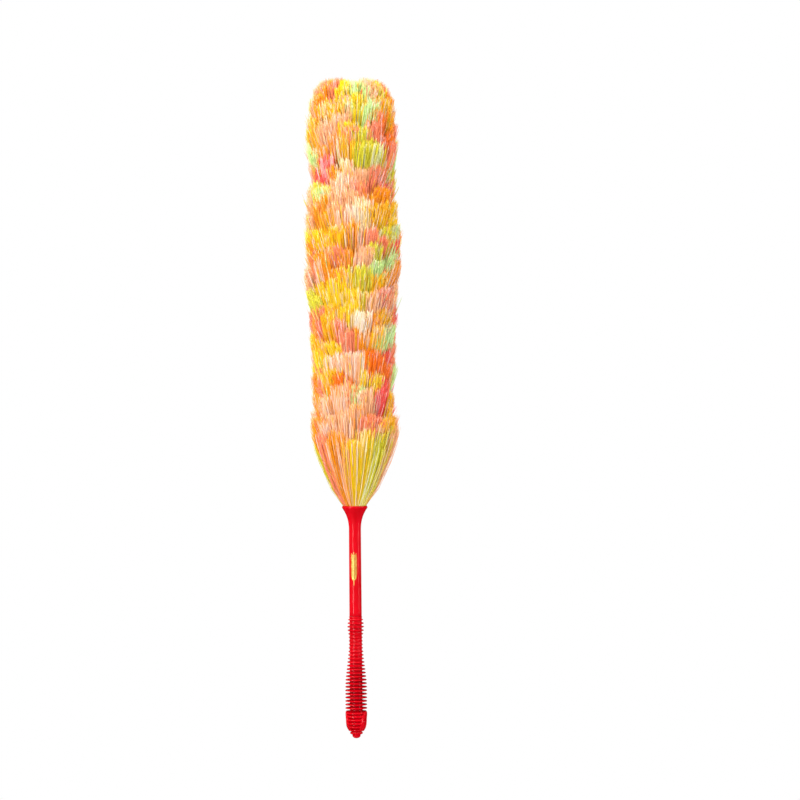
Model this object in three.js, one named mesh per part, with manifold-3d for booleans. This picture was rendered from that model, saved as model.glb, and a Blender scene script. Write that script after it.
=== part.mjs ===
// Feather duster with a synthetic fibre head, standing on its butt end.
//
// Units are millimetres and +Z is up. The origin is the lowest point of the handle's domed tip, and the
// handle's axis is the Z axis. The hanging hole runs along X, so the grip's smooth pads face +X and -X.
//
// The red handle is two mouldings: a shaft with a trumpet flare, and a finned grip pushed over the shaft's
// tenon. Two twisted steel wires are fixed in the shaft's socket by a ring of hot-melt adhesive. They grip
// eighteen bundles of fibre, each a soft cup that leans upward and nests in the one below it.

import * as THREE from 'three';
import { mergeVertices } from 'three/addons/utils/BufferGeometryUtils.js';
import Module from 'manifold-3d';

const wasm = await Module();
wasm.setup();

// ---------------------------------------------------------------- driving dimensions
const TOTAL_LENGTH = 600;
const GAP = 0.3; // clearance between touching pieces

// butt end: tip, ring and bulb
const TIP_RADIUS = 3.7;
const TIP_HEIGHT = 2.4;
const NECK_RADIUS = 3.5;
const RING_RADIUS = 5.7;
const RING_Z = 4.9;
const RING_HALF_HEIGHT = 1;
const COLLAR_RADIUS = 4.6; // between the ring and the bulb
const BULB_BOTTOM = 6.8;
const BULB_TOP = 24.9;
const BULB_RADIUS = 9.95;
const RIB_DEPTH = 1.8; // grooves between the bulb's ribs
const RIB_INSET = 0.25; // ribs stand this much lower than the pads
const RIB_FLANK = 0.8; // half the width of a groove's mouth
const PAD = { centreZ: 14.5, halfWidth: 7.6, halfHeight: 10.3 };
const DISH = { centreZ: 16, halfWidth: 4.4, halfHeight: 6.4, floorX: 7.9, draft: 0.35 };
const HANGING_HOLE = { z: 16, radius: 3.2 };

// grip fins
const FIN_COUNT = 26;
const FIN_PITCH = 3.21;
const FIRST_FIN_Z = 27.5;
const FIN_ROOT_THICKNESS = 1.7;
const FIN_EDGE_THICKNESS = 1.0;
const FIN_BELLY_RADIUS = 9.9;
const FIN_WAIST = { radius: 6.25, z: 88, fade: 43 }; // full belly is reached this far below the waist
const FIN_SWELLING = { height: 0.64, z: 101.4, reach: 11 };
const GRIP_CORE_LOW = 5.6;
const GRIP_CORE_HIGH = 5.3;
const GRIP_TOP = 110.9;
const GRIP_TOP_RADIUS = 5.85;

// shaft, socket and flare
const TENON_RADIUS = 3.8;
const TENON_BOTTOM = 26;
const SHAFT_RADIUS_LOW = 5.6;
const SHAFT_RADIUS_HIGH = 5.45;
const FLARE_START = 188;
const LIP_Z = 209.5;
const LIP_RADIUS = 11.6;
const RIM_TOP = 211.2;
const FLARE_POWER = 2.5;
const FLARE_WALL = 1.8;
const SOCKET_RADIUS = 3.4;
const SOCKET_BOTTOM = 150;

// core
const WIRE_RADIUS = 0.8;
const WIRE_PITCH = 24; // one full turn of the twist
const WIRE_BOTTOM = 154;
const WIRE_TOP = 539;
const GLUE = { bottom: 156, top: 192 };
const CAP = { bottom: 530, top: 541, radius: 2.7 };

// fibre head
const TIER_COUNT = 18;
const TIER_PITCH = 18.8;
const FIRST_ROOT_Z = 198.2;
const TIER_GAP = 0.8; // measured along Z, which is 0.3 across the leaning walls
const FIBRE_RISE = 1.6; // rise per millimetre of reach where a fibre leaves the core
const FIBRE_CURL = 0.012; // how soon the fibre turns upward
// The head's widest radius at each height, from the flare to the flattened top.
const HEAD_OUTLINE = [
  [211, 12.0],
  [225, 21.0],
  [238, 27.5],
  [251, 32.5],
  [264, 35.5],
  [285, 36.4],
  [320, 36.0],
  [370, 38.0],
  [418, 41.4],
  [453, 42.5],
  [491, 40.6],
  [511, 37.6],
  [545, 40.6],
  [582, 36.5],
  [596, 26.0],
  [TOTAL_LENGTH, 9],
];

const OUTLINE_MARGIN = 4; // outline points closer than this to a bundle's edge are left out
const CROWN_RADIUS = 9; // the flat middle of the head's top

// facets
const ROUND_SEGMENTS = 20;
const SHAFT_SEGMENTS = 20;
const HOLE_SEGMENTS = 20;
const PAD_SEGMENTS = 32;
const WIRE_SIDES = 5;
const WIRE_STEPS_PER_TURN = 7;

// worked out from the above
const WIRE_ORBIT = WIRE_RADIUS + GAP / 2;
const TWIST_RADIUS = WIRE_ORBIT + WIRE_RADIUS;
const CORE_CLEARANCE_RADIUS = TWIST_RADIUS + GAP;
const BORE_RADIUS = TENON_RADIUS + GAP;
const BORE_BOTTOM = TENON_BOTTOM - GAP;
const SHOULDER_Z = GRIP_TOP + GAP;

// ---------------------------------------------------------------- helpers
const { clamp, lerp, smoothstep } = THREE.MathUtils;

/** A solid of revolution about Z from [radius, z] points that start and end on the axis or close. */
function revolve(points, segments) {
  const outline = points.map(([radius, z]) => new THREE.Vector2(radius, z));
  const geometry = new THREE.LatheGeometry(outline, segments);
  geometry.rotateX(Math.PI / 2);
  return geometry;
}

/** The geometry as a manifold-3d solid, with shared vertices merged and empty triangles left out. */
function solidOf(geometry) {
  const bare = geometry.clone();
  bare.deleteAttribute('normal');
  bare.deleteAttribute('uv');
  const merged = mergeVertices(bare, 1e-4);
  const triangles = [];
  const index = merged.index.array;
  for (let i = 0; i < index.length; i += 3) {
    const [a, b, c] = index.slice(i, i + 3);
    if (a !== b && b !== c && c !== a) {
      triangles.push(a, b, c);
    }
  }
  return new wasm.Manifold(new wasm.Mesh({
    numProp: 3,
    vertProperties: new Float32Array(merged.attributes.position.array),
    triVerts: new Uint32Array(triangles),
  }));
}

/** A manifold-3d solid as three.js geometry. */
function geometryOf(solid) {
  const mesh = solid.getMesh();
  const geometry = new THREE.BufferGeometry();
  geometry.setAttribute('position', new THREE.BufferAttribute(new Float32Array(mesh.vertProperties), 3));
  geometry.setIndex(new THREE.BufferAttribute(new Uint32Array(mesh.triVerts), 1));
  geometry.computeVertexNormals();
  return geometry;
}

/** A cylinder along X, or a cone if the radii differ, stretched to an ellipse of the given half axes. */
function ellipticPeg({ fromX, toX, z, halfWidth, halfHeight, flare = 1, segments }) {
  const length = toX - fromX;
  const geometry = new THREE.CylinderGeometry(flare, 1, length, segments);
  geometry.rotateZ(-Math.PI / 2);
  // the peg now runs along X, with its width along Z and its height along Y
  geometry.rotateX(Math.PI / 2);
  geometry.scale(1, halfWidth, halfHeight);
  geometry.translate((fromX + toX) / 2, 0, z);
  return geometry;
}

function named(name, geometry, { color, roughness, metalness = 0 }) {
  const material = new THREE.MeshStandardMaterial({ color, roughness, metalness });
  const mesh = new THREE.Mesh(geometry, material);
  mesh.name = name;
  return mesh;
}

// ---------------------------------------------------------------- materials
const RED_PLASTIC = { color: 0xe60010, roughness: 0.25 };
const STEEL = { color: 0xb8bcc0, roughness: 0.35, metalness: 1 };
const ADHESIVE = { color: 0xe8d9a8, roughness: 0.5 };
const CLEAR_CAP = { color: 0xf0f0ec, roughness: 0.4 };
const FIBRE_COLOURS = [0xffb83a, 0xffd92e, 0xff8f6b, 0xffc4a8, 0xd9e65a, 0xff7a3c, 0xbfeaa0, 0xffa73d];

// ---------------------------------------------------------------- ribbed grip
/** The outer radius of a fin: a full belly low down, a waist, then a small swelling under the top. */
function finRadius(z) {
  const fullness = smoothstep(FIN_WAIST.z - z, 0, FIN_WAIST.fade);
  const belly = lerp(FIN_WAIST.radius, FIN_BELLY_RADIUS, fullness);
  const fromMiddle = clamp((z - FIN_SWELLING.z) / FIN_SWELLING.reach, -1, 1);
  return belly + FIN_SWELLING.height * (1 + Math.cos(Math.PI * fromMiddle));
}

function gripCoreRadius(z) {
  return lerp(GRIP_CORE_LOW, GRIP_CORE_HIGH, (z - BULB_TOP) / (GRIP_TOP - BULB_TOP));
}

/** The bulb's smooth outline, a barrel that narrows to its bottom. */
const BULB_OUTLINE = [
  [6.8, BULB_BOTTOM],
  [7.9, 8.5],
  [8.75, 10.2],
  [9.45, 12.2],
  [9.85, 14.6],
  [BULB_RADIUS, 18],
  [9.9, 21.5],
  [9.7, BULB_TOP],
];

function bulbRadius(z) {
  const above = BULB_OUTLINE.findIndex((point) => point[1] >= z);
  if (above < 1) {
    return BULB_OUTLINE[above === 0 ? 0 : BULB_OUTLINE.length - 1][0];
  }
  const [r0, z0] = BULB_OUTLINE[above - 1];
  const [r1, z1] = BULB_OUTLINE[above];
  return lerp(r0, r1, (z - z0) / (z1 - z0));
}

function buttEndPoints() {
  return [
    [0, 0],
    [0.5 * TIP_RADIUS, 0.1 * TIP_HEIGHT],
    [0.85 * TIP_RADIUS, 0.45 * TIP_HEIGHT],
    [TIP_RADIUS, TIP_HEIGHT],
    [NECK_RADIUS, RING_Z - RING_HALF_HEIGHT - 0.4],
    [RING_RADIUS - 0.4, RING_Z - RING_HALF_HEIGHT],
    [RING_RADIUS, RING_Z],
    [RING_RADIUS - 0.4, RING_Z + RING_HALF_HEIGHT],
    [COLLAR_RADIUS, RING_Z + RING_HALF_HEIGHT + 0.2],
  ];
}

/** The bulb's ribs carry on at the fins' pitch, with shallower grooves. */
function bulbRibPoints() {
  const points = [[COLLAR_RADIUS, BULB_BOTTOM], [bulbRadius(BULB_BOTTOM) - RIB_INSET, BULB_BOTTOM]];
  const ribs = Math.floor((BULB_TOP - BULB_BOTTOM) / FIN_PITCH);
  for (let i = ribs; i > 0; i -= 1) {
    const groove = BULB_TOP - 0.1 - i * FIN_PITCH;
    points.push([bulbRadius(groove - RIB_FLANK) - RIB_INSET, groove - RIB_FLANK]);
    points.push([bulbRadius(groove) - RIB_INSET - RIB_DEPTH, groove]);
    points.push([bulbRadius(groove + RIB_FLANK) - RIB_INSET, groove + RIB_FLANK]);
  }
  const topRadius = bulbRadius(BULB_TOP) - RIB_INSET;
  points.push([topRadius, BULB_TOP - 0.4]);
  points.push([topRadius - 0.4, BULB_TOP]);
  return points;
}

function finPoints() {
  const points = [[gripCoreRadius(BULB_TOP), BULB_TOP]];
  for (let i = 0; i < FIN_COUNT; i += 1) {
    const z = FIRST_FIN_Z + i * FIN_PITCH;
    const core = gripCoreRadius(z);
    const edge = finRadius(z);
    // short fins near the waist keep the same flank angle, so their roots are thinner
    const share = clamp((edge - core) / 4, 0.25, 1);
    const root = lerp(FIN_EDGE_THICKNESS, FIN_ROOT_THICKNESS, share) / 2;
    points.push([core, z - root]);
    points.push([edge, z - FIN_EDGE_THICKNESS / 2]);
    points.push([edge, z + FIN_EDGE_THICKNESS / 2]);
    points.push([core, z + root]);
  }
  return points;
}

function gripBorePoints() {
  return [
    [GRIP_TOP_RADIUS, GRIP_TOP - 1.2],
    [GRIP_TOP_RADIUS, GRIP_TOP],
    [BORE_RADIUS, GRIP_TOP],
    [BORE_RADIUS, BORE_BOTTOM],
    [0, BORE_BOTTOM],
  ];
}

/** The smooth bulb, kept only where the two oval pads are. */
function padSolid() {
  const outline = [[0, BULB_BOTTOM], ...BULB_OUTLINE, [0, BULB_TOP]];
  const bulb = solidOf(revolve(outline, PAD_SEGMENTS));
  const oval = ellipticPeg({
    fromX: -2 * BULB_RADIUS,
    toX: 2 * BULB_RADIUS,
    z: PAD.centreZ,
    halfWidth: PAD.halfWidth,
    halfHeight: PAD.halfHeight,
    segments: PAD_SEGMENTS,
  });
  return bulb.intersect(solidOf(oval));
}

/** The shallow oval recess in a pad, wider at its mouth so that it leaves the mould. */
function dishCutter(side) {
  const depth = BULB_RADIUS + 1 - DISH.floorX;
  const cutter = ellipticPeg({
    fromX: DISH.floorX,
    toX: DISH.floorX + depth,
    z: DISH.centreZ,
    halfWidth: DISH.halfWidth,
    halfHeight: DISH.halfHeight,
    flare: 1 + DISH.draft * depth / DISH.halfWidth,
    segments: HOLE_SEGMENTS,
  });
  return solidOf(side > 0 ? cutter : cutter.rotateZ(Math.PI));
}

function ribbedGrip() {
  const outline = [...buttEndPoints(), ...bulbRibPoints(), ...finPoints(), ...gripBorePoints()];
  const hole = ellipticPeg({
    fromX: -2 * BULB_RADIUS,
    toX: 2 * BULB_RADIUS,
    z: HANGING_HOLE.z,
    halfWidth: HANGING_HOLE.radius,
    halfHeight: HANGING_HOLE.radius,
    segments: HOLE_SEGMENTS,
  });
  const grip = solidOf(revolve(outline, ROUND_SEGMENTS))
    .add(padSolid())
    .subtract(dishCutter(1))
    .subtract(dishCutter(-1))
    .subtract(solidOf(hole));
  return named('ribbed_grip', geometryOf(grip), RED_PLASTIC);
}

// ---------------------------------------------------------------- shaft and flare
function flareRadius(z) {
  const share = clamp((z - FLARE_START) / (LIP_Z - FLARE_START), 0, 1);
  return SHAFT_RADIUS_HIGH + (LIP_RADIUS - SHAFT_RADIUS_HIGH) * share ** FLARE_POWER;
}

function handleShaft() {
  const flareHeights = [FLARE_START, 195, 200, 204, 207];
  const outside = flareHeights.map((z) => [flareRadius(z), z]);
  const inside = flareHeights.map((z) => [Math.max(SOCKET_RADIUS, flareRadius(z) - FLARE_WALL), z]);
  const outline = [
    [0, TENON_BOTTOM],
    [TENON_RADIUS - 0.5, TENON_BOTTOM],
    [TENON_RADIUS, TENON_BOTTOM + 0.5],
    [TENON_RADIUS, SHOULDER_Z],
    [SHAFT_RADIUS_LOW, SHOULDER_Z],
    ...outside,
    [LIP_RADIUS, LIP_Z],
    [LIP_RADIUS - 0.1, LIP_Z + 1],
    [LIP_RADIUS - 0.7, RIM_TOP],
    [LIP_RADIUS - 1.3, RIM_TOP],
    [flareRadius(LIP_Z) - FLARE_WALL, LIP_Z],
    ...inside.slice(1).reverse(),
    [SOCKET_RADIUS, SOCKET_BOTTOM],
    [0, SOCKET_BOTTOM],
  ];
  return named('handle_shaft', revolve(outline, SHAFT_SEGMENTS), RED_PLASTIC);
}

// ---------------------------------------------------------------- core
class Twist extends THREE.Curve {
  constructor(phase) {
    super();
    this.phase = phase;
  }

  getPoint(t, target = new THREE.Vector3()) {
    const z = lerp(WIRE_BOTTOM, WIRE_TOP, t);
    const angle = this.phase + 2 * Math.PI * (z - WIRE_BOTTOM) / WIRE_PITCH;
    return target.set(WIRE_ORBIT * Math.cos(angle), WIRE_ORBIT * Math.sin(angle), z);
  }
}

function coreWire(name, phase) {
  const section = [];
  for (let i = 0; i < WIRE_SIDES; i += 1) {
    const angle = 2 * Math.PI * i / WIRE_SIDES;
    section.push(new THREE.Vector2(WIRE_RADIUS * Math.cos(angle), WIRE_RADIUS * Math.sin(angle)));
  }
  const turns = (WIRE_TOP - WIRE_BOTTOM) / WIRE_PITCH;
  const geometry = new THREE.ExtrudeGeometry(new THREE.Shape(section), {
    steps: Math.round(turns * WIRE_STEPS_PER_TURN),
    extrudePath: new Twist(phase),
    bevelEnabled: false,
  });
  return named(name, geometry, STEEL);
}

function gluePlug() {
  const outer = SOCKET_RADIUS - GAP;
  const outline = [
    [CORE_CLEARANCE_RADIUS, GLUE.bottom],
    [outer, GLUE.bottom],
    [outer, GLUE.top - 1],
    [outer - 0.5, GLUE.top],
    [CORE_CLEARANCE_RADIUS, GLUE.top],
    [CORE_CLEARANCE_RADIUS, GLUE.bottom],
  ];
  return named('glue_plug', revolve(outline, SHAFT_SEGMENTS), ADHESIVE);
}

function wireEndCap() {
  const outline = [
    [CORE_CLEARANCE_RADIUS, CAP.bottom],
    [CAP.radius, CAP.bottom],
    [CAP.radius, CAP.top - 1],
    [CAP.radius - 1, CAP.top],
    [0, CAP.top],
    [0, WIRE_TOP + 2 * GAP],
    [CORE_CLEARANCE_RADIUS, WIRE_TOP + 2 * GAP],
    [CORE_CLEARANCE_RADIUS, CAP.bottom],
  ];
  return named('wire_end_cap', revolve(outline, ROUND_SEGMENTS), CLEAR_CAP);
}

// ---------------------------------------------------------------- fibre head
function headRadius(z) {
  const above = HEAD_OUTLINE.findIndex((point) => point[0] >= z);
  const [z0, r0] = HEAD_OUTLINE[above - 1];
  const [z1, r1] = HEAD_OUTLINE[above];
  return lerp(r0, r1, (z - z0) / (z1 - z0));
}

/** How far a fibre has risen when it has reached the given radius. */
function fibreRise(radius) {
  const reach = radius - CORE_CLEARANCE_RADIUS;
  return FIBRE_RISE * reach + FIBRE_CURL * reach * reach;
}

const WIDEST_SEARCH = 60; // wider than the head anywhere
const SEARCH_STEPS = 40;

/** Where a fibre rooted at this height meets the head's outline. */
function fibreTip(rootZ) {
  let inside = CORE_CLEARANCE_RADIUS;
  let outside = WIDEST_SEARCH;
  for (let i = 0; i < SEARCH_STEPS; i += 1) {
    const middle = (inside + outside) / 2;
    const z = rootZ + fibreRise(middle);
    const within = z < TOTAL_LENGTH && (z <= HEAD_OUTLINE[0][0] || middle < headRadius(z));
    if (within) {
      inside = middle;
    } else {
      outside = middle;
    }
  }
  return inside;
}

/** Points up one leaning face of a bundle, from the core to the head's outline. */
function leaningFace(rootZ) {
  const tip = fibreTip(rootZ);
  return [0, 0.5, 1].map((share) => {
    const radius = lerp(CORE_CLEARANCE_RADIUS, tip, share);
    return [radius, rootZ + fibreRise(radius)];
  });
}

function outlineBetween(low, high) {
  return HEAD_OUTLINE
    .filter(([z]) => z > low + OUTLINE_MARGIN && z < high - OUTLINE_MARGIN)
    .map(([z, radius]) => [radius, z]);
}

function fibreTier(index) {
  const rootZ = FIRST_ROOT_Z + index * TIER_PITCH;
  const under = leaningFace(rootZ);
  const lowEdge = under[under.length - 1][1];
  let outline;
  if (index < TIER_COUNT - 1) {
    const over = leaningFace(rootZ + TIER_PITCH - TIER_GAP);
    const highEdge = over[over.length - 1][1];
    outline = [...under, ...outlineBetween(lowEdge, highEdge), ...over.reverse(), under[0]];
  } else {
    // the top bundle closes over the core's end and fills the head's flattened dome
    const pocket = CAP.radius + GAP;
    const crown = [[CROWN_RADIUS, TOTAL_LENGTH], [0, TOTAL_LENGTH]];
    const core = [
      [0, CAP.top + GAP],
      [pocket, CAP.top + GAP],
      [pocket, CAP.bottom - GAP],
      [CORE_CLEARANCE_RADIUS, CAP.bottom - GAP],
    ];
    outline = [...under, ...outlineBetween(lowEdge, TOTAL_LENGTH), ...crown, ...core, under[0]];
  }
  const number = String(index + 1).padStart(2, '0');
  const color = FIBRE_COLOURS[index % FIBRE_COLOURS.length];
  return named(`fibre_tier_${number}`, revolve(outline, ROUND_SEGMENTS), { color, roughness: 0.6 });
}

// ---------------------------------------------------------------- assembly
const duster = new THREE.Group();

const handle = new THREE.Group();
handle.add(ribbedGrip(), handleShaft());

const core = new THREE.Group();
core.add(coreWire('core_wire_a', 0), coreWire('core_wire_b', Math.PI), gluePlug(), wireEndCap());

const head = new THREE.Group();
for (let i = 0; i < TIER_COUNT; i += 1) {
  head.add(fibreTier(i));
}

duster.add(handle, core, head);

export default duster;
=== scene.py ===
"""Feather duster: a moulded handle, a twisted wire core and a head of single fibres, round the frame.

Lengths are millimetres until MM turns them into Blender's metres, except those of the floor, the lights and
the camera's clipping, which are metres. The duster stands along +Z with its domed tip at the origin, as in
the frame.
"""

import math

import bmesh
import bpy
import numpy as np
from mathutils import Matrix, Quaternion, Vector


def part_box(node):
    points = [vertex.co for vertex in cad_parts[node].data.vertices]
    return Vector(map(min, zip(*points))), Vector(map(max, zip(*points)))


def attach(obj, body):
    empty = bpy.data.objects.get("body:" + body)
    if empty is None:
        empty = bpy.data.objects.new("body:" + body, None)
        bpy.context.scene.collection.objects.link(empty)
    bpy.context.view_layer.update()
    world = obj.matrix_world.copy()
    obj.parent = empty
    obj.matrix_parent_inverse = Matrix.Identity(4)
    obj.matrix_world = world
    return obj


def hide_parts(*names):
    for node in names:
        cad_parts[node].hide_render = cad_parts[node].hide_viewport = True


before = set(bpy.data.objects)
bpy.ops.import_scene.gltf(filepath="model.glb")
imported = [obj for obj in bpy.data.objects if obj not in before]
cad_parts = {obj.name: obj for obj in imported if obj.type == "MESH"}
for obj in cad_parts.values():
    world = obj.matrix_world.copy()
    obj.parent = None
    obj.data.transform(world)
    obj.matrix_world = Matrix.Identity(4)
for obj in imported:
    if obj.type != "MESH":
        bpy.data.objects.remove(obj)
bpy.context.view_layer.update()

MM = 0.001
BODY = "root"

# ---------------------------------------------------------------- sizes taken from the frame
TIERS = sorted(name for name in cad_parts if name.startswith("fibre_tier_"))
GRIP_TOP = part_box("ribbed_grip")[1].z / MM
SHAFT_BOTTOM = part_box("handle_shaft")[0].z / MM
RIM_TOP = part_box("handle_shaft")[1].z / MM
LIP_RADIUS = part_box("handle_shaft")[1].x / MM
GLUE_COVER = 2  # how far the wires stand out below the glue
WIRE_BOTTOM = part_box("glue_plug")[0].z / MM - GLUE_COVER
CAP_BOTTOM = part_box("wire_end_cap")[0].z / MM
CAP_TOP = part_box("wire_end_cap")[1].z / MM
CAP_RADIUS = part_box("wire_end_cap")[1].x / MM
GLUE_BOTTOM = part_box("glue_plug")[0].z / MM
GLUE_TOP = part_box("glue_plug")[1].z / MM
GLUE_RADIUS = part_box("glue_plug")[1].x / MM
ROOTS = [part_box(name)[0].z / MM for name in TIERS]
TIER_PITCH = ROOTS[1] - ROOTS[0]
HEAD_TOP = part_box(TIERS[-1])[1].z / MM

# ---------------------------------------------------------------- handle sizes
GAP = 0.3
GRIP_SEGMENTS, SHAFT_SEGMENTS = 168, 144
ARC_ROWS = 9  # points on each small rounded edge

# The butt. An outline is a list of (radius, height) points, and one marked "from" holds offsets.
TIP_RADIUS, TIP_HEIGHT = 3.7, 2.4
NECK_OUTLINE = ((0, 3.0), (0.1, 3.4), (0.6, 3.75))  # radius from TIP_RADIUS
RING_RADIUS, RING_Z = 5.7, 4.9
RING_ROUNDING, RING_HALF_HEIGHT = 0.75, 1.05
COLLAR_OUTLINE = ((4.7, 1.15), (4.6, 1.4))  # height from RING_Z

# The bulb, its ribs, its two oval pads with dished middles and the hanging hole through them.
BULB_BOTTOM, BULB_TOP = 6.8, 24.9
BULB_OUTLINE_Z = (BULB_BOTTOM, 8.5, 10.2, 12.2, 14.6, 18, 21.5, BULB_TOP)
BULB_OUTLINE_RADII = (6.8, 7.9, 8.75, 9.45, 9.85, 9.95, 9.9, 9.7)
BULB_RADIUS = max(BULB_OUTLINE_RADII)
BULB_UNDERSIDE = ((4.8, -0.15), (6.2, -0.12))  # height from BULB_BOTTOM
BULB_EDGE_HEIGHT, BULB_ROW_PITCH = 0.35, 0.16
BULB_EDGE = ((0, -BULB_EDGE_HEIGHT), (-0.08, -0.12), (-0.3, 0))  # from the last radius and BULB_TOP
RIB_DEPTH, RIB_INSET, GROOVE_SHARPNESS = 2.3, 0.25, 1.8
RIBS_BELOW, RIBS_ABOVE = 0.05, 0.1  # how far the carving starts under the bulb and ends under its top
PAD_Z, PAD_HALF_WIDTH, PAD_HALF_HEIGHT = 14.5, 7.6, 10.3
DISH_Z, DISH_HALF_WIDTH, DISH_HALF_HEIGHT, DISH_FLOOR = 16.0, 4.4, 6.4, 7.9
PAD_EDGE, DISH_EDGE = (0.96, 1.04), (0.96, 1.12)  # where each oval fades out, as a share of its size
SIDE_FACING = 0.4  # a surface belongs to a side if its direction has at least this much of X
OFF_THE_SIDE = 9.0  # stands for a place far outside an oval
HOLE_Z, HOLE_RADIUS = 16.0, 3.2
MOUTH_FLARE, MOUTH_ROUNDING = 0.45, 0.13
CUTTER_SEGMENTS, CUTTER_MARGIN = 64, 2

# The fins, and the grip's core between them.
FIN_COUNT, FIN_PITCH, FIRST_FIN_Z = 26, 3.21, 27.5
FIN_BELLY_RADIUS = 9.9
FIN_WAIST_RADIUS, FIN_WAIST_Z, FIN_WAIST_FADE = 6.25, 88.0, 43.0
SWELLING, SWELLING_Z, SWELLING_REACH = 0.64, 101.4, 11.0
FIN_ROOT_THIN, FIN_ROOT_THICK, FIN_TIP_HALF = 1.1, 1.9, 0.55
FIN_DEEP, FIN_LEAST_SHARE = 4, 0.25  # a fin this deep has the thickest root; the thinnest has this share
FIN_FILLET = 0.35
FILLET_OUTLINE = ((0, 0.3), (0.3, 0.05), (1, -0.1))  # radius in fillets from the core, height from the root
FLANK_SHARE = 0.6
FIN_EDGE_OUTLINE = ((-0.45, -0.04), (-0.14, -0.2))  # from the fin's edge and its tip's half thickness
FIN_EDGE_FLAT = 0.12
GRIP_CORE_LOW, GRIP_CORE_HIGH = 5.8, 5.5
BULB_LID = ((7.5, 0.03), (GRIP_CORE_LOW + 0.3, 0.08), (GRIP_CORE_LOW, 0.4))  # height from BULB_TOP
GRIP_TOP_RADIUS, GRIP_TOP_START = 5.85, 1.6
GRIP_LIP = ((-0.08, -1.3), (0, -1.0), (0, -0.25), (-0.12, -0.06), (-0.3, 0))  # from its radius and GRIP_TOP

# The shaft, from its tenon up to the flare, and the socket for the core.
TENON_RADIUS, TENON_CHAMFER = 3.8, 0.5
SHAFT_RADIUS_LOW, SHAFT_RADIUS_HIGH = 5.6, 5.45
SHOULDER_CHAMFER = 0.15
SHAFT_SHARES = np.linspace(0.05, 0.95, 10)
FLARE_START, LIP_Z, FLARE_POWER, FLARE_WALL = 188.0, 209.5, 2.5, 1.8
FLARE_ROWS, FLARE_END_DROP, RIM_ROWS = 26, 0.6, 15
SOCKET_RADIUS, SOCKET_BOTTOM = 3.4, 150.0
SOCKET_CHAMFER, SOCKET_CHAMFER_HEIGHT = 0.6, 1

# The core.
CORE_SEGMENTS = 64
WIRE_RADIUS, WIRE_PITCH, WIRE_TOP = 0.8, 24.0, 539.0
WIRE_SIDES, WIRE_ROWS_PER_TURN = 14, 24
GLUE_BOTTOM_OUTLINE = ((-0.4, 0), (0, 0.5))  # from GLUE_RADIUS and GLUE_BOTTOM
GLUE_TOP_OUTLINE = ((0, -1), (-0.2, -0.3), (-0.6, 0))  # from GLUE_RADIUS and GLUE_TOP
CAP_ROUNDING, CAP_ROWS = 1, 8
WIRE_ORBIT = WIRE_RADIUS + GAP / 2
CORE_RADIUS = WIRE_ORBIT + WIRE_RADIUS + GAP

# ---------------------------------------------------------------- view
CAMERA_AZIMUTH = math.radians(12.5)
CAMERA_ROLL = math.radians(-0.45)
CAMERA_DISTANCE = 2800.0
FIELD_WIDTH = 727.0  # how wide the picture is at the duster
VIEW_CENTRE_Z = 307.0
VIEW_OFFSET = 41.9  # how far the picture's middle lies to the right of the duster
SENSOR = 36.0
CLIP_END = 40
TOWARD_CAMERA = Vector((math.sin(CAMERA_AZIMUTH), -math.cos(CAMERA_AZIMUTH), 0))
CAMERA_RIGHT = Vector((math.cos(CAMERA_AZIMUTH), math.sin(CAMERA_AZIMUTH), 0))


# ---------------------------------------------------------------- helpers
def mix(a, b, share):
    return a + (b - a) * share


def smooth_step(value, low, high):
    share = np.clip((value - low) / (high - low), 0.0, 1.0)
    return share * share * (3 - 2 * share)


def new_object(name, mesh, materials):
    for material in materials:
        mesh.materials.append(material)
    piece = bpy.data.objects.new(name, mesh)
    bpy.context.scene.collection.objects.link(piece)
    return piece


def mesh_from_arrays(name, points, loops, starts, smooth=True):
    """A mesh from points in millimetres, the faces' corner list and where each face starts in it."""
    mesh = bpy.data.meshes.new(name)
    mesh.vertices.add(len(points))
    mesh.vertices.foreach_set("co", (points * MM).astype(np.float32).ravel())
    mesh.loops.add(len(loops))
    mesh.loops.foreach_set("vertex_index", loops.astype(np.int32))
    mesh.polygons.add(len(starts))
    mesh.polygons.foreach_set("loop_start", starts.astype(np.int32))
    mesh.polygons.foreach_set("use_smooth", np.full(len(starts), smooth))
    mesh.update(calc_edges=True)
    return mesh


def place(piece, slot, *nodes):
    """Makes a finished piece ride on the duster's one body and stand for its CAD nodes."""
    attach(piece, BODY)
    if nodes:
        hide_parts(*nodes)


def turned(name, outline, segments, material, radius_at=None):
    """A closed turned piece from (radius, z) points that start and end on the axis.

    radius_at(radius, z, angle), if given, changes the radius round the piece.
    """
    outline = np.array(outline, float)
    inner = outline[1:-1]
    rows = len(inner)
    angle = np.linspace(0, 2 * math.pi, segments, endpoint=False)
    radius = np.repeat(inner[:, :1], segments, axis=1)
    height = np.repeat(inner[:, 1:], segments, axis=1)
    around = np.repeat(angle[None, :], rows, axis=0)
    if radius_at is not None:
        radius = radius_at(radius, height, around)
    points = np.stack([radius * np.cos(around), radius * np.sin(around), height], -1).reshape(-1, 3)
    ends = np.array([[0, 0, outline[0, 1]], [0, 0, outline[-1, 1]]])
    points = np.concatenate([points, ends])
    grid = np.arange(rows * segments).reshape(rows, segments)
    beside = np.roll(grid, -1, axis=1)
    quads = np.stack([grid[:-1], beside[:-1], beside[1:], grid[1:]], -1).reshape(-1, 4)
    first, last = rows * segments, rows * segments + 1
    below = np.stack([beside[0], grid[0], np.full(segments, first)], -1)
    above = np.stack([grid[-1], beside[-1], np.full(segments, last)], -1)
    caps = np.concatenate([below, above])
    loops = np.concatenate([quads.ravel(), caps.ravel()])
    starts = np.concatenate([
        np.arange(len(quads)) * 4,
        len(quads) * 4 + np.arange(len(caps)) * 3,
    ])
    mesh = mesh_from_arrays(name, points, loops, starts)
    return new_object(name, mesh, [material])


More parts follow.
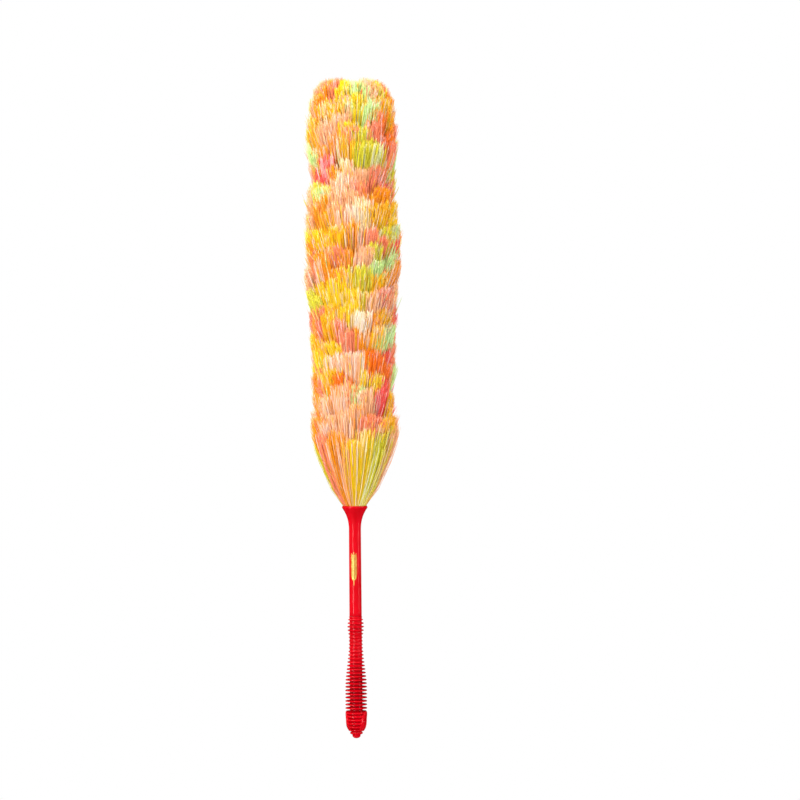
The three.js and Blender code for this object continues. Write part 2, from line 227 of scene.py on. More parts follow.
def ring_piece(name, outline, segments, material):
    """A closed ring turned from (radius, z) points that go once round its section."""
    outline = np.array(outline, float)
    rows = len(outline)
    angle = np.linspace(0, 2 * math.pi, segments, endpoint=False)
    points = np.stack([
        outline[:, :1] * np.cos(angle),
        outline[:, :1] * np.sin(angle),
        np.repeat(outline[:, 1:], segments, axis=1),
    ], -1).reshape(-1, 3)
    grid = np.arange(rows * segments).reshape(rows, segments)
    beside = np.roll(grid, -1, axis=1)
    quads = np.stack([grid, beside, np.roll(beside, -1, axis=0), np.roll(grid, -1, axis=0)], -1)
    quads = quads.reshape(-1, 4)
    mesh = mesh_from_arrays(name, points, quads.ravel(), np.arange(len(quads)) * 4)
    return new_object(name, mesh, [material])


def swept(name, path, radius, sides, material):
    """A round closed wire along a path of points in millimetres."""
    path = np.array(path, float)
    tangent = np.gradient(path, axis=0)
    tangent /= np.linalg.norm(tangent, axis=1, keepdims=True)
    across = np.cross(tangent, [1.0, 0.0, 0.0])
    across /= np.linalg.norm(across, axis=1, keepdims=True)
    other = np.cross(tangent, across)
    angle = np.linspace(0, 2 * math.pi, sides, endpoint=False)
    points = (
        path[:, None, :]
        + radius * np.cos(angle)[None, :, None] * across[:, None, :]
        + radius * np.sin(angle)[None, :, None] * other[:, None, :]
    ).reshape(-1, 3)
    grid = np.arange(len(path) * sides).reshape(len(path), sides)
    beside = np.roll(grid, -1, axis=1)
    quads = np.stack([grid[:-1], beside[:-1], beside[1:], grid[1:]], -1).reshape(-1, 4)
    loops = np.concatenate([quads.ravel(), grid[0][::-1], grid[-1]])
    starts = np.concatenate([np.arange(len(quads)) * 4, len(quads) * 4 + np.array([0, sides])])
    mesh = mesh_from_arrays(name, points, loops, starts)
    return new_object(name, mesh, [material])


# ---------------------------------------------------------------- materials
NOISE_LOW, NOISE_HIGH = 0.3, 0.7  # most of a noise lies between these
RAMP_LOW, RAMP_HIGH = 0.35, 0.65


def node_material(name):
    material = bpy.data.materials.new(name)
    material.use_nodes = True
    tree = material.node_tree
    shader = tree.nodes["Principled BSDF"]
    place_at = tree.nodes.new("ShaderNodeTexCoord")
    return material, tree, shader, place_at.outputs["Object"]


def stretched(tree, coordinates, scale):
    mapping = tree.nodes.new("ShaderNodeMapping")
    mapping.inputs["Scale"].default_value = scale
    tree.links.new(coordinates, mapping.inputs["Vector"])
    return mapping.outputs["Vector"]


def noise(tree, vector, scale, detail=3.0):
    """A soft procedural noise, with about scale waves to a metre."""
    texture = tree.nodes.new("ShaderNodeTexNoise")
    texture.inputs["Scale"].default_value = scale
    texture.inputs["Detail"].default_value = detail
    tree.links.new(vector, texture.inputs["Vector"])
    return texture.outputs["Fac"]


def ranged(tree, value, low, high):
    """Spreads a noise's middle values between low and high."""
    node = tree.nodes.new("ShaderNodeMapRange")
    node.inputs["From Min"].default_value = NOISE_LOW
    node.inputs["From Max"].default_value = NOISE_HIGH
    node.inputs["To Min"].default_value = low
    node.inputs["To Max"].default_value = high
    tree.links.new(value, node.inputs["Value"])
    return node.outputs["Result"]


def ramp(tree, value, first, second):
    """Turns a noise into a colour between the first and the second."""
    node = tree.nodes.new("ShaderNodeValToRGB")
    node.color_ramp.elements[0].position = RAMP_LOW
    node.color_ramp.elements[1].position = RAMP_HIGH
    node.color_ramp.elements[0].color = (*first, 1)
    node.color_ramp.elements[1].color = (*second, 1)
    tree.links.new(value, node.inputs["Fac"])
    return node.outputs["Color"]


def bump(tree, shader, value, strength, distance):
    """Raises the surface's shading by a noise, as deep as distance in millimetres."""
    node = tree.nodes.new("ShaderNodeBump")
    node.inputs["Strength"].default_value = strength
    node.inputs["Distance"].default_value = distance * MM
    tree.links.new(value, node.inputs["Height"])
    tree.links.new(node.outputs["Normal"], shader.inputs["Normal"])


def red_plastic():
    """Glossy moulded polypropylene: faint flow marks in the colour, a slightly uneven gloss."""
    material, tree, shader, at = node_material("red_plastic")
    deep, bright = (0.46, 0.0004, 0.004), (0.55, 0.0006, 0.007)
    flow = noise(tree, stretched(tree, at, scale=(160, 160, 30)), scale=1.0)
    tree.links.new(ramp(tree, flow, deep, bright), shader.inputs["Base Color"])
    gloss = ranged(tree, noise(tree, at, scale=420.0), low=0.10, high=0.17)
    tree.links.new(gloss, shader.inputs["Roughness"])
    sink_marks = noise(tree, stretched(tree, at, scale=(90, 90, 25)), scale=1.0, detail=2.0)
    bump(tree, shader, sink_marks, strength=0.2, distance=0.12)
    shader.inputs["Specular IOR Level"].default_value = 0.25
    shader.inputs["IOR"].default_value = 1.5
    return material


def gold_foil():
    """Hot-stamped foil, a little worn, over the red plastic."""
    material, tree, shader, at = node_material("gold_foil")
    dull, bright = (0.62, 0.36, 0.03), (1.0, 0.84, 0.22)
    worn = noise(tree, at, scale=900.0, detail=4.0)
    tree.links.new(ramp(tree, worn, dull, bright), shader.inputs["Base Color"])
    gloss = ranged(tree, noise(tree, at, scale=1500.0), low=0.18, high=0.4)
    tree.links.new(gloss, shader.inputs["Roughness"])
    shader.inputs["Metallic"].default_value = 0.5
    return material


def galvanised_wire():
    """Drawn steel wire, with fine marks along it."""
    material, tree, shader, at = node_material("galvanised_wire")
    dull, bright = (0.42, 0.43, 0.45), (0.62, 0.63, 0.65)
    drawn = noise(tree, stretched(tree, at, scale=(900, 900, 60)), scale=1.0)
    tree.links.new(ramp(tree, drawn, dull, bright), shader.inputs["Base Color"])
    tree.links.new(ranged(tree, drawn, low=0.28, high=0.45), shader.inputs["Roughness"])
    shader.inputs["Metallic"].default_value = 1.0
    return material


def cloudy_plastic(name, first, second):
    """Unpainted plastic or adhesive, a little cloudy."""
    material, tree, shader, at = node_material(name)
    cloud = noise(tree, at, scale=260.0)
    tree.links.new(ramp(tree, cloud, first, second), shader.inputs["Base Color"])
    tree.links.new(ranged(tree, cloud, low=0.35, high=0.55), shader.inputs["Roughness"])
    return material


# Each dyed colour in linear light, keyed by the letter that the dye order uses.
DYES = {
    "Y": (1.00, 0.65, 0.00),
    "A": (1.00, 0.52, 0.00),
    "O": (1.00, 0.35, 0.00),
    "D": (1.00, 0.20, 0.00),
    "R": (1.00, 0.10, 0.08),
    "C": (1.00, 0.28, 0.13),
    "P": (1.00, 0.50, 0.24),
    "W": (1.00, 0.78, 0.48),
    "L": (0.78, 0.70, 0.03),
    "M": (0.66, 0.85, 0.30),
}
# A fibre is drawn pale, plain or full strength: how far its colour is mixed with white, and its share.
TINTS = ((0.45, 0.20), (0.03, 0.38), (0.0, 0.42))
# Painted shade: deep inside the head each fibre takes a warmer, darker copy of its dye, standing in for
# light that has passed through other fibres.
PAINTED_SHADE_FILTER = (1.0, 0.86, 0.42)


def fibre_material(letter, tint_number=None):
    """Split polypropylene in one dye: an even colour with a faint bloom in fine streaks along the head.

    With no tint it is painted shade: a warmer, darker copy of the dye for the part that lies deep inside
    the head.
    """
    if tint_number is None:
        # the "inner" material is the painted-shade copy of the dye
        label, colour = "inner", [a * b for a, b in zip(DYES[letter], PAINTED_SHADE_FILTER)]
    else:
        label, share = tint_number, TINTS[tint_number][0]
        colour = [mix(channel, 1.0, share) for channel in DYES[letter]]
    material, tree, shader, at = node_material(f"fibre_{letter.lower()}_{label}")
    shader.inputs["Base Color"].default_value = (*colour, 1)
    streaks = noise(tree, stretched(tree, at, scale=(1400, 1400, 90)), scale=1.0)
    tree.links.new(ranged(tree, streaks, low=0.0, high=0.08), shader.inputs["Sheen Weight"])
    shader.inputs["Sheen Roughness"].default_value = 0.5
    shader.inputs["Roughness"].default_value = 0.5
    shader.inputs["Specular IOR Level"].default_value = 0.15
    shader.inputs["IOR"].default_value = 1.45
    return material


# ---------------------------------------------------------------- grip
def grip_core_radius(z):
    return mix(GRIP_CORE_LOW, GRIP_CORE_HIGH, (z - BULB_TOP) / (GRIP_TOP - BULB_TOP))


def fin_radius(z):
    """The fins' outer radius: a full belly low down, a waist, then a small swelling under the top."""
    fullness = float(smooth_step(FIN_WAIST_Z - z, 0, FIN_WAIST_FADE))
    from_middle = max(-1.0, min(1.0, (z - SWELLING_Z) / SWELLING_REACH))
    swelling = SWELLING * (1 + math.cos(math.pi * from_middle))
    return mix(FIN_WAIST_RADIUS, FIN_BELLY_RADIUS, fullness) + swelling


def bulb_radius(z):
    return np.interp(z, BULB_OUTLINE_Z, BULB_OUTLINE_RADII)


def butt_outline():
    """The domed tip and the small ring, from the axis outward and up."""
    dome = [
        (TIP_RADIUS * math.sin(a), TIP_HEIGHT * (1 - math.cos(a)))
        for a in np.linspace(0, math.pi / 2, ARC_ROWS)
    ]
    neck = [(TIP_RADIUS + r, z) for r, z in NECK_OUTLINE]
    ring = [
        (RING_RADIUS - RING_ROUNDING + RING_ROUNDING * math.cos(a), RING_Z + RING_HALF_HEIGHT * math.sin(a))
        for a in np.linspace(-math.pi / 2, math.pi / 2, ARC_ROWS)
    ]
    collar = [(r, RING_Z + z) for r, z in COLLAR_OUTLINE]
    return dome + neck + ring + collar


def bulb_outline():
    """The bulb's rows from its bottom edge to its flat top, close enough together for the ribs."""
    bottom = [(r, BULB_BOTTOM + z) for r, z in BULB_UNDERSIDE]
    heights = np.arange(BULB_BOTTOM, BULB_TOP - BULB_EDGE_HEIGHT, BULB_ROW_PITCH)
    rows = [(float(bulb_radius(z)), z) for z in heights]
    edge = [(BULB_OUTLINE_RADII[-1] + r, BULB_TOP + z) for r, z in BULB_EDGE]
    lid = [(r, BULB_TOP + z) for r, z in BULB_LID]
    return bottom + rows + edge + lid


def fin_outline(index):
    """One fin's section: filleted root, slightly drafted flanks and a rounded edge."""
    z = FIRST_FIN_Z + index * FIN_PITCH
    core, edge = grip_core_radius(z), fin_radius(z)
    reach = edge - core
    share = max(FIN_LEAST_SHARE, min(1.0, reach / FIN_DEEP))
    root = mix(FIN_ROOT_THIN, FIN_ROOT_THICK, share) / 2
    fillet = min(FIN_FILLET, reach / 3)
    half = [(core + share_out * fillet, root + h) for share_out, h in FILLET_OUTLINE]
    half.append((mix(core, edge, FLANK_SHARE), mix(root, FIN_TIP_HALF, FLANK_SHARE)))
    half += [(edge + r, FIN_TIP_HALF + h) for r, h in FIN_EDGE_OUTLINE]
    half.append((edge, FIN_EDGE_FLAT))
    lower = [(r, z - h) for r, h in half]
    upper = [(r, z + h) for r, h in reversed(half)]
    return lower + upper


def grip_outline():
    """The whole grip, from the tip outward and up, and down again inside the bore for the tenon."""
    points = butt_outline() + bulb_outline()
    for index in range(FIN_COUNT):
        points += fin_outline(index)
    points.append((GRIP_CORE_HIGH, GRIP_TOP - GRIP_TOP_START))
    points += [(GRIP_TOP_RADIUS + r, GRIP_TOP + z) for r, z in GRIP_LIP]
    bore = TENON_RADIUS + GAP
    return points + [(bore, GRIP_TOP), (bore, SHAFT_BOTTOM - GAP), (0, SHAFT_BOTTOM - GAP)]


def grip_radius(radius, z, angle):
    """Carves the bulb: ribs all round, except on the two smooth oval pads with their dished middles."""
    on_bulb = (z > BULB_BOTTOM - RIBS_BELOW) & (z < BULB_TOP - RIBS_ABOVE)
    across = radius * np.sin(angle)
    to_side = np.abs(np.cos(angle))
    oval = np.hypot(across / PAD_HALF_WIDTH, (z - PAD_Z) / PAD_HALF_HEIGHT)
    oval = np.where(to_side > SIDE_FACING, oval, OFF_THE_SIDE)
    pad = 1 - smooth_step(oval, *PAD_EDGE)
    wave = 0.5 + 0.5 * np.cos(2 * math.pi * (z - (BULB_TOP - RIBS_ABOVE)) / FIN_PITCH)
    groove = RIB_INSET + RIB_DEPTH * wave**GROOVE_SHARPNESS
    ribbed = radius - groove * (1 - pad)
    dish = np.hypot(across / DISH_HALF_WIDTH, (z - DISH_Z) / DISH_HALF_HEIGHT)
    dish = np.where(to_side > SIDE_FACING, dish, OFF_THE_SIDE)
    floor = DISH_FLOOR / np.maximum(to_side, SIDE_FACING)
    carved = mix(ribbed, np.minimum(ribbed, floor), 1 - smooth_step(dish, *DISH_EDGE))
    return np.where(on_bulb, carved, radius)


def drill(piece, cutter):
    """Cuts the cutter out of the piece for good and deletes the cutter."""
    modifier = piece.modifiers.new("hanging_hole", "BOOLEAN")
    modifier.operation = "DIFFERENCE"
    modifier.solver = "EXACT"
    modifier.object = cutter
    evaluated = piece.evaluated_get(bpy.context.evaluated_depsgraph_get())
    cut = bpy.data.meshes.new_from_object(evaluated)
    piece.modifiers.clear()
    piece.data = cut
    bpy.data.objects.remove(cutter)


def hole_cutter():
    """A round peg through the bulb along X, spreading at both mouths to leave a rounded edge."""
    wide = HOLE_RADIUS + MOUTH_FLARE
    reach = BULB_RADIUS + CUTTER_MARGIN
    outline = [
        (0, -reach),
        (wide, -reach),
        (wide, -DISH_FLOOR),
        (HOLE_RADIUS + MOUTH_ROUNDING, -DISH_FLOOR + MOUTH_ROUNDING),
        (HOLE_RADIUS, -DISH_FLOOR + MOUTH_FLARE),
    ]
    outline += [(r, -z) for r, z in reversed(outline)]
    cutter = turned("hole_cutter", outline, CUTTER_SEGMENTS, RED)
    onto_x = Vector((0, 0, 1)).rotation_difference(Vector((1, 0, 0)))
    cutter.data.transform(onto_x.to_matrix().to_4x4())
    for vertex in cutter.data.vertices:
        vertex.co.z += HOLE_Z * MM
    return cutter


def make_grip():
    grip = turned("ribbed_grip_moulding", grip_outline(), GRIP_SEGMENTS, RED, grip_radius)
    drill(grip, hole_cutter())
    place(grip, "red_plastic", "ribbed_grip")


# ---------------------------------------------------------------- shaft
def flare_radius(z):
    share = np.clip((z - FLARE_START) / (LIP_Z - FLARE_START), 0, 1)
    return SHAFT_RADIUS_HIGH + (LIP_RADIUS - SHAFT_RADIUS_HIGH) * share**FLARE_POWER


def flare_inside(z):
    return np.maximum(SOCKET_RADIUS, flare_radius(z) - FLARE_WALL)


def make_shaft():
    shoulder = GRIP_TOP + GAP
    tenon = [
        (0, SHAFT_BOTTOM),
        (TENON_RADIUS - TENON_CHAMFER, SHAFT_BOTTOM),
        (TENON_RADIUS, SHAFT_BOTTOM + TENON_CHAMFER),
        (TENON_RADIUS, shoulder),
        (SHAFT_RADIUS_LOW - SHOULDER_CHAMFER, shoulder),
        (SHAFT_RADIUS_LOW, shoulder + SHOULDER_CHAMFER),
    ]
    straight = [
        (mix(SHAFT_RADIUS_LOW, SHAFT_RADIUS_HIGH, share), mix(shoulder, FLARE_START, share))
        for share in SHAFT_SHARES
    ]
    heights = np.linspace(FLARE_START, LIP_Z - FLARE_END_DROP, FLARE_ROWS)
    flare = [(float(flare_radius(z)), z) for z in heights]
    rim_middle = (LIP_RADIUS + float(flare_inside(LIP_Z))) / 2
    rim_half = (LIP_RADIUS - float(flare_inside(LIP_Z))) / 2
    rim = [
        (rim_middle + rim_half * math.cos(a), LIP_Z + (RIM_TOP - LIP_Z) * math.sin(a))
        for a in np.linspace(0, math.pi, RIM_ROWS)
    ]
    inside = [(float(flare_inside(z)), z) for z in heights[::-1]]
    socket = [
        (SOCKET_RADIUS, SOCKET_BOTTOM + SOCKET_CHAMFER_HEIGHT),
        (SOCKET_RADIUS - SOCKET_CHAMFER, SOCKET_BOTTOM),
        (0, SOCKET_BOTTOM),
    ]
    outline = tenon + straight + flare + rim + inside + socket
    place(turned("shaft_moulding", outline, SHAFT_SEGMENTS, RED), "red_plastic", "handle_shaft")


# ---------------------------------------------------------------- foil mark
FOIL_LOW, FOIL_HIGH, FOIL_HALF_WIDTH = 139.0, 169.5, 2.9
FOIL_PROUD, FOIL_SUNK = 0.05, -0.02  # its outer and inner face, from the shaft's surface
STEM_POINTS, STEM_HALF_WIDTH = 15, 0.28
BARBS_START, BARBS_END, BARB_PITCH = 5.0, 2.5, 1.55  # from FOIL_LOW, from FOIL_HIGH
BARB_POINTS, BARB_ROOT, BARB_HALF_WIDTH, BARB_NARROWING = 7, 0.42, 0.52, 0.5
BARB_RISE, BARB_CURVE = 2.4, 1.3
BARB_SHORTEST, BARB_SWELL = 0.75, 0.5  # a barb's length as a share of the half width


def foil_strip(centreline, half_width):
    """The two edges of a strip of foil, as (across, z) points on either side of its centreline."""
    centreline = np.array(centreline, float)
    along = np.gradient(centreline, axis=0)
    along /= np.linalg.norm(along, axis=1, keepdims=True)
    side = np.stack([-along[:, 1], along[:, 0]], -1) * half_width[:, None]
    return centreline - side, centreline + side


def on_shaft(flat, proud):
    """Wraps (across, z) points round the front of the shaft, which faces -Y."""
    share = (flat[:, 1] - GRIP_TOP) / (FLARE_START - GRIP_TOP)
    radius = mix(SHAFT_RADIUS_LOW, SHAFT_RADIUS_HIGH, share)
    angle = flat[:, 0] / radius
    radius = radius + proud
    return np.stack([radius * np.sin(angle), -radius * np.cos(angle), flat[:, 1]], -1)


def quill_strips():
    """A plain quill: a stem, and slanting barbs on both sides of it."""
    stem = np.array([(0.0, z) for z in np.linspace(FOIL_LOW, FOIL_HIGH, STEM_POINTS)])
    strips = [foil_strip(stem, np.full(len(stem), STEM_HALF_WIDTH))]
    share = np.linspace(0, 1, BARB_POINTS)
    narrowing = BARB_HALF_WIDTH * (1 - BARB_NARROWING * share)
    for z in np.arange(FOIL_LOW + BARBS_START, FOIL_HIGH - BARBS_END, BARB_PITCH):
        height = (z - FOIL_LOW - BARBS_START) / (FOIL_HIGH - FOIL_LOW - BARBS_START - BARBS_END)
        swell = BARB_SHORTEST + BARB_SWELL * math.sin(math.pi * height)
        reach = FOIL_HALF_WIDTH * min(1.0, swell)
        for side in (-1, 1):
            across = side * (BARB_ROOT + (reach - BARB_ROOT) * share)
            barb = np.stack([across, z + BARB_RISE * share**BARB_CURVE], -1)
            strips.append(foil_strip(barb, narrowing))
    return strips


def strip_faces(n):
    """The faces of a closed strip. It has n points on each edge: lower left, lower right, upper two."""
    faces = []
    for i in range(n - 1):
        a, b, c, d = i, i + 1, n + i + 1, n + i
        a2, b2, c2, d2 = (v + 2 * n for v in (a, b, c, d))
        faces += [(a2, d2, c2, b2), (a, b, c, d), (a, a2, b2, b), (d, c, c2, d2)]
        if i == 0:
            faces.append((a, d, d2, a2))
        if i == n - 2:
            faces.append((b, b2, c2, c))
    return faces


def make_foil():
    """The quill in gold foil on the front of the shaft, with no lettering."""
    points = []
    faces = []
    count = 0
    for left, right in quill_strips():
        for proud in (FOIL_SUNK, FOIL_PROUD):
            points += [on_shaft(left, proud), on_shaft(right, proud)]
        faces += [[count + v for v in face] for face in strip_faces(len(left))]
        count += 4 * len(left)
    loops = np.array(faces).ravel()
    starts = np.arange(len(faces)) * 4
    mesh = mesh_from_arrays("foil_mark", np.concatenate(points), loops, starts, False)
    shape = bmesh.new()
    shape.from_mesh(mesh)
    bmesh.ops.recalc_face_normals(shape, faces=shape.faces)
    shape.to_mesh(mesh)
    shape.free()
    place(new_object("foil_mark", mesh, [gold_foil()]), "gold_foil")


# ---------------------------------------------------------------- core
def make_wires():
    """Two wires twisted round each other."""
    steel = galvanised_wire()
    steps = WIRE_ROWS_PER_TURN * round((WIRE_TOP - WIRE_BOTTOM) / WIRE_PITCH)
    height = np.linspace(WIRE_BOTTOM, WIRE_TOP, steps)
    for name, phase in (("core_wire_a", 0.0), ("core_wire_b", math.pi)):
        angle = phase + 2 * math.pi * (height - WIRE_BOTTOM) / WIRE_PITCH
        path = np.stack([WIRE_ORBIT * np.cos(angle), WIRE_ORBIT * np.sin(angle), height], -1)
        place(swept(name + "_drawn", path, WIRE_RADIUS, WIRE_SIDES, steel), "core_wire", name)


def make_glue():
    """The ring of adhesive between the wires and the socket."""
    adhesive = cloudy_plastic("adhesive", (0.70, 0.55, 0.28), (0.80, 0.68, 0.42))
    outline = [(CORE_RADIUS, GLUE_BOTTOM)]
    outline += [(GLUE_RADIUS + r, GLUE_BOTTOM + z) for r, z in GLUE_BOTTOM_OUTLINE]
    outline += [(GLUE_RADIUS + r, GLUE_TOP + z) for r, z in GLUE_TOP_OUTLINE]
    outline.append((CORE_RADIUS, GLUE_TOP))
    place(ring_piece("glue_bead", outline, CORE_SEGMENTS, adhesive), "adhesive", "glue_plug")


def make_wire_cap():
    """The cap over the cut ends of the wires."""
    natural = cloudy_plastic("natural_polyethylene", (0.80, 0.80, 0.76), (0.88, 0.88, 0.85))
    inside = WIRE_TOP + 2 * GAP
    bore = [(0, inside), (CORE_RADIUS, inside), (CORE_RADIUS, CAP_BOTTOM), (CAP_RADIUS, CAP_BOTTOM)]
    arc_radius, arc_height = CAP_RADIUS - CAP_ROUNDING, CAP_TOP - CAP_ROUNDING
    dome = [
        (arc_radius + CAP_ROUNDING * math.cos(a), arc_height + CAP_ROUNDING * math.sin(a))
        for a in np.linspace(0, math.pi / 2, CAP_ROWS)
    ]
    cap = turned("wire_cap_moulding", bore + dome + [(0, CAP_TOP)], CORE_SEGMENTS, natural)
    place(cap, "wire_cap", "wire_end_cap")


# ---------------------------------------------------------------- fibre head
HEAD_SEED = 3
TUFTS = 28  # tufts round each bundle
LOCKS = 70  # locks in a tuft
LOCK_FIBRES = 3

# Half the head's width at each height.
HEAD_HEIGHTS = [
    211, 225, 238, 251, 264, 280, 307, 334, 357, 385, 418, 453, 491, 511, 535, 560, 584, 595, 601,
]
HEAD_RADII = [
    10.5, 18.6, 25.5, 30.5, 34.5, 36.4, 35.9, 35.9, 37.7, 38.2,
    41.4, 42.5, 40.6, 37.3, 40.6, 40.6, 35.9, 27.7, 16,
]
# The flattened crown: height at each distance from the middle.
CROWN_RADII = [0, 10, 18, 27.7, 35.9, 39]
CROWN_HEIGHTS = [595, 597, 600, 598.5, 590, 576]

# The dyed tufts of each bundle, lowest bundle first. Eight letters go round the front from left to right,
# and the back takes the front letters of another bundle in reverse.
DYE_ORDER = [
    "CCOPYLLP",
    "OOPPOCAA",
    "OPOPPRRA",
    "OCADMYDM",
    "PYPPWDRC",
    "AAYCOAMR",
    "OCAYWOAR",
    "LLYYLPCP",
    "PCOYLAOC",
    "AOPCPLMR",
    "YYAOWCLM",
    "POAPWAYY",
    "PLYPCORC",
    "CROWPCCL",
    "MOOYLLCM",
    "AOPYLCDO",
    "POAPLMAO",
    "POCYMPLO",
]
DYE_BACK_SHIFT = 7
LETTERS = "".join(DYES)
STRAY_LETTERS = "YAOPLAYOMC"
DYE_EDGE_SPREAD = 0.05  # how far the borders between dyes wander, in radians
STRAY_TUFTS, STRAY_LOCKS = 0.06, 0.08  # the shares that take a dye of their own
OWN_TINT = 0.65  # the share of locks with a tint of their own, and not their tuft's

# How the tufts of a bundle differ. The waves run round the head.
WAVE_COUNTS = (2, 3, 5, 8)
TUFT_SHIFT = 0.35  # sideways, as a share of the room for one tuft
BUNDLE_HEIGHT_SPREAD, HEIGHT_WAVE, TUFT_HEIGHT_SPREAD = 2.0, 4.5, 4.5
REACH_WAVE, TUFT_REACH_SPREAD = 0.02, 0.02
TUFT_LEAN = 0.06
BEND_RANGE = (0.05, 0.62)  # how strongly fibres curl upward: 0 is straight
OPEN_TIERS, OPEN_BEND = 2, 0.35  # the lowest bundles are seen right down to their roots

# How the locks of a tuft differ.
LOCK_SPREAD, LOCK_LIMIT = 0.5, 1.2  # sideways, in rooms for one tuft
ROOT_SPREAD, TIP_SPREAD = 1.2, 0.95
TIP_ANGLE_SPREAD = 0.02
LOCK_HEIGHT_SPREAD, LOCK_HEIGHT_LOSS, LOCK_REACH_LOSS = 1.3, 3.0, 0.05
WISPS, WISP_REACH = 0.02, (0.03, 0.08)  # a few locks reach further out than the rest
LOCK_BEND_SPREAD = 0.05

# How the fibres of a lock differ, and their shape.
FIBRE_HEIGHT = 80.0  # how far a bundle's tips stand above its lowest root
FIBRE_HALF_WIDTH, FIBRE_HALF_THICKNESS = 0.33, 0.13
FIBRE_STATIONS = np.array([0, 0.16, 0.42, 0.76, 0.96, 1.0])  # points along a fibre, as shares of it
FIBRE_SPREAD = np.array([0, 0.6, 0.9, 1.0, 1.0, 0.9])  # how far a fibre has left its lock by then
FIBRE_TAPER = np.array([0.8, 1.0, 1.0, 1.0, 0.9])
FIBRE_RISE, FIBRE_LATE_RISE = 0.8, 0.2
FIBRE_ROLL_SPREAD = 0.6
OPEN_SCATTER, INNER_SCATTER = 3.0, 1.2  # how loosely the fibres of one lock lie
SCATTER, WAVER_OUT, WAVER_SIDEWAYS = 0.4, 0.12, 0.18
# these stretches take the painted-shade material
PAINTED_SHADE_RINGS = 3  # stretches of a fibre, from its root, that lie deep inside the head
ROOT_DEPTH = (-0.1, 0.5)
TIP_LOSS, SHORT_FIBRES, SHORTEST_BY = 1.6, 0.2, 12
TIP_PROUD = 1.0  # fibre tips reach this far past the head's outline
CROWN_UNEVENNESS, CROWN_TIP_LOSS, CROWN_EVEN_SHARE = 0.2, 1.5, 0.5
STRAY_FIBRES, STRAY_REACH = 0.006, (1.02, 1.12)
FLARE_CLEARANCE, RIM_CLEARANCE, MOUTH_RADIUS = 0.55, 0.6, 9.4
NEAREST_AXIS = 3
TOP_CLEARANCE = 4


def wobble(rng, angle, size):
    """A smooth random wave round the head, about as high as size."""
    total = np.zeros_like(angle)
    for count in WAVE_COUNTS:
        total += np.cos(count * angle + rng.uniform(0, 2 * math.pi))
    return size * total / math.sqrt(len(WAVE_COUNTS))


def tuft_dyes(rng, tier, angle):
    """The dye of each tuft. An angle of 0 faces -Y, and grows toward +X."""
    front = DYE_ORDER[tier]
    back = DYE_ORDER[(tier + DYE_BACK_SHIFT) % len(DYE_ORDER)][::-1]
    row = np.array([LETTERS.index(letter) for letter in front + back])
    strays = np.array([LETTERS.index(letter) for letter in STRAY_LETTERS])
    # the first letter starts at the left edge of what the camera sees
    turn = angle - CAMERA_AZIMUTH + math.pi / 2 + rng.normal(0, DYE_EDGE_SPREAD, len(angle))
    dye = row[np.floor(turn / (2 * math.pi) * len(row)).astype(int) % len(row)]
    return np.where(rng.random(len(angle)) < STRAY_TUFTS, rng.choice(strays, len(angle)), dye)


def make_locks(rng, tier):
    """For each lock of a bundle: its angles, tip height, reach, dye, tint, place on the crown and bend."""
    sector = 2 * math.pi / TUFTS
    angle = sector * (np.arange(TUFTS) + rng.uniform(-TUFT_SHIFT, TUFT_SHIFT, TUFTS) + 0.5 * (tier % 2))
    dye = tuft_dyes(rng, tier, angle)
    height = rng.normal(0, BUNDLE_HEIGHT_SPREAD) + wobble(rng, angle, HEIGHT_WAVE)
    height = height + rng.normal(0, TUFT_HEIGHT_SPREAD, TUFTS)
    reach = wobble(rng, angle, REACH_WAVE) + rng.normal(0, TUFT_REACH_SPREAD, TUFTS)
    lean = rng.normal(0, TUFT_LEAN, TUFTS)
    tuft = np.repeat(np.arange(TUFTS), LOCKS)
    count = len(tuft)
    beside = np.clip(rng.normal(0, LOCK_SPREAD, count), -LOCK_LIMIT, LOCK_LIMIT) * sector
    wisp = rng.random(count) < WISPS
    other = rng.choice([LETTERS.index(letter) for letter in STRAY_LETTERS], count)
    tint_shares = [share for _, share in TINTS]
    tuft_tint = rng.choice(len(TINTS), TUFTS, p=tint_shares)
    own_tint = rng.choice(len(TINTS), count, p=tint_shares)
    tuft_bend = rng.uniform(*BEND_RANGE, TUFTS)
    own_bend = tuft_bend[tuft] + rng.normal(0, LOCK_BEND_SPREAD, count)
    tip_angle = angle[tuft] + TIP_SPREAD * beside + lean[tuft] + rng.normal(0, TIP_ANGLE_SPREAD, count)
    tip_height = height[tuft] + rng.normal(0, LOCK_HEIGHT_SPREAD, count)
    tip_height = tip_height - np.abs(rng.normal(0, LOCK_HEIGHT_LOSS, count))
    tip_reach = 1 + reach[tuft] - np.abs(rng.normal(0, LOCK_REACH_LOSS, count))
    tip_reach = tip_reach + wisp * rng.uniform(*WISP_REACH, count)
    return {
        "root_angle": angle[tuft] + ROOT_SPREAD * beside,
        "tip_angle": tip_angle,
        "height": tip_height,
        "reach": tip_reach,
        "dye": np.where(rng.random(count) < STRAY_LOCKS, other, dye[tuft]),
        "tint": np.where(rng.random(count) < OWN_TINT, own_tint, tuft_tint[tuft]),
        "out": np.sqrt(rng.random(count)) * CROWN_RADII[-1],
        "bend": np.full(count, OPEN_BEND) if tier < OPEN_TIERS else own_bend,
    }


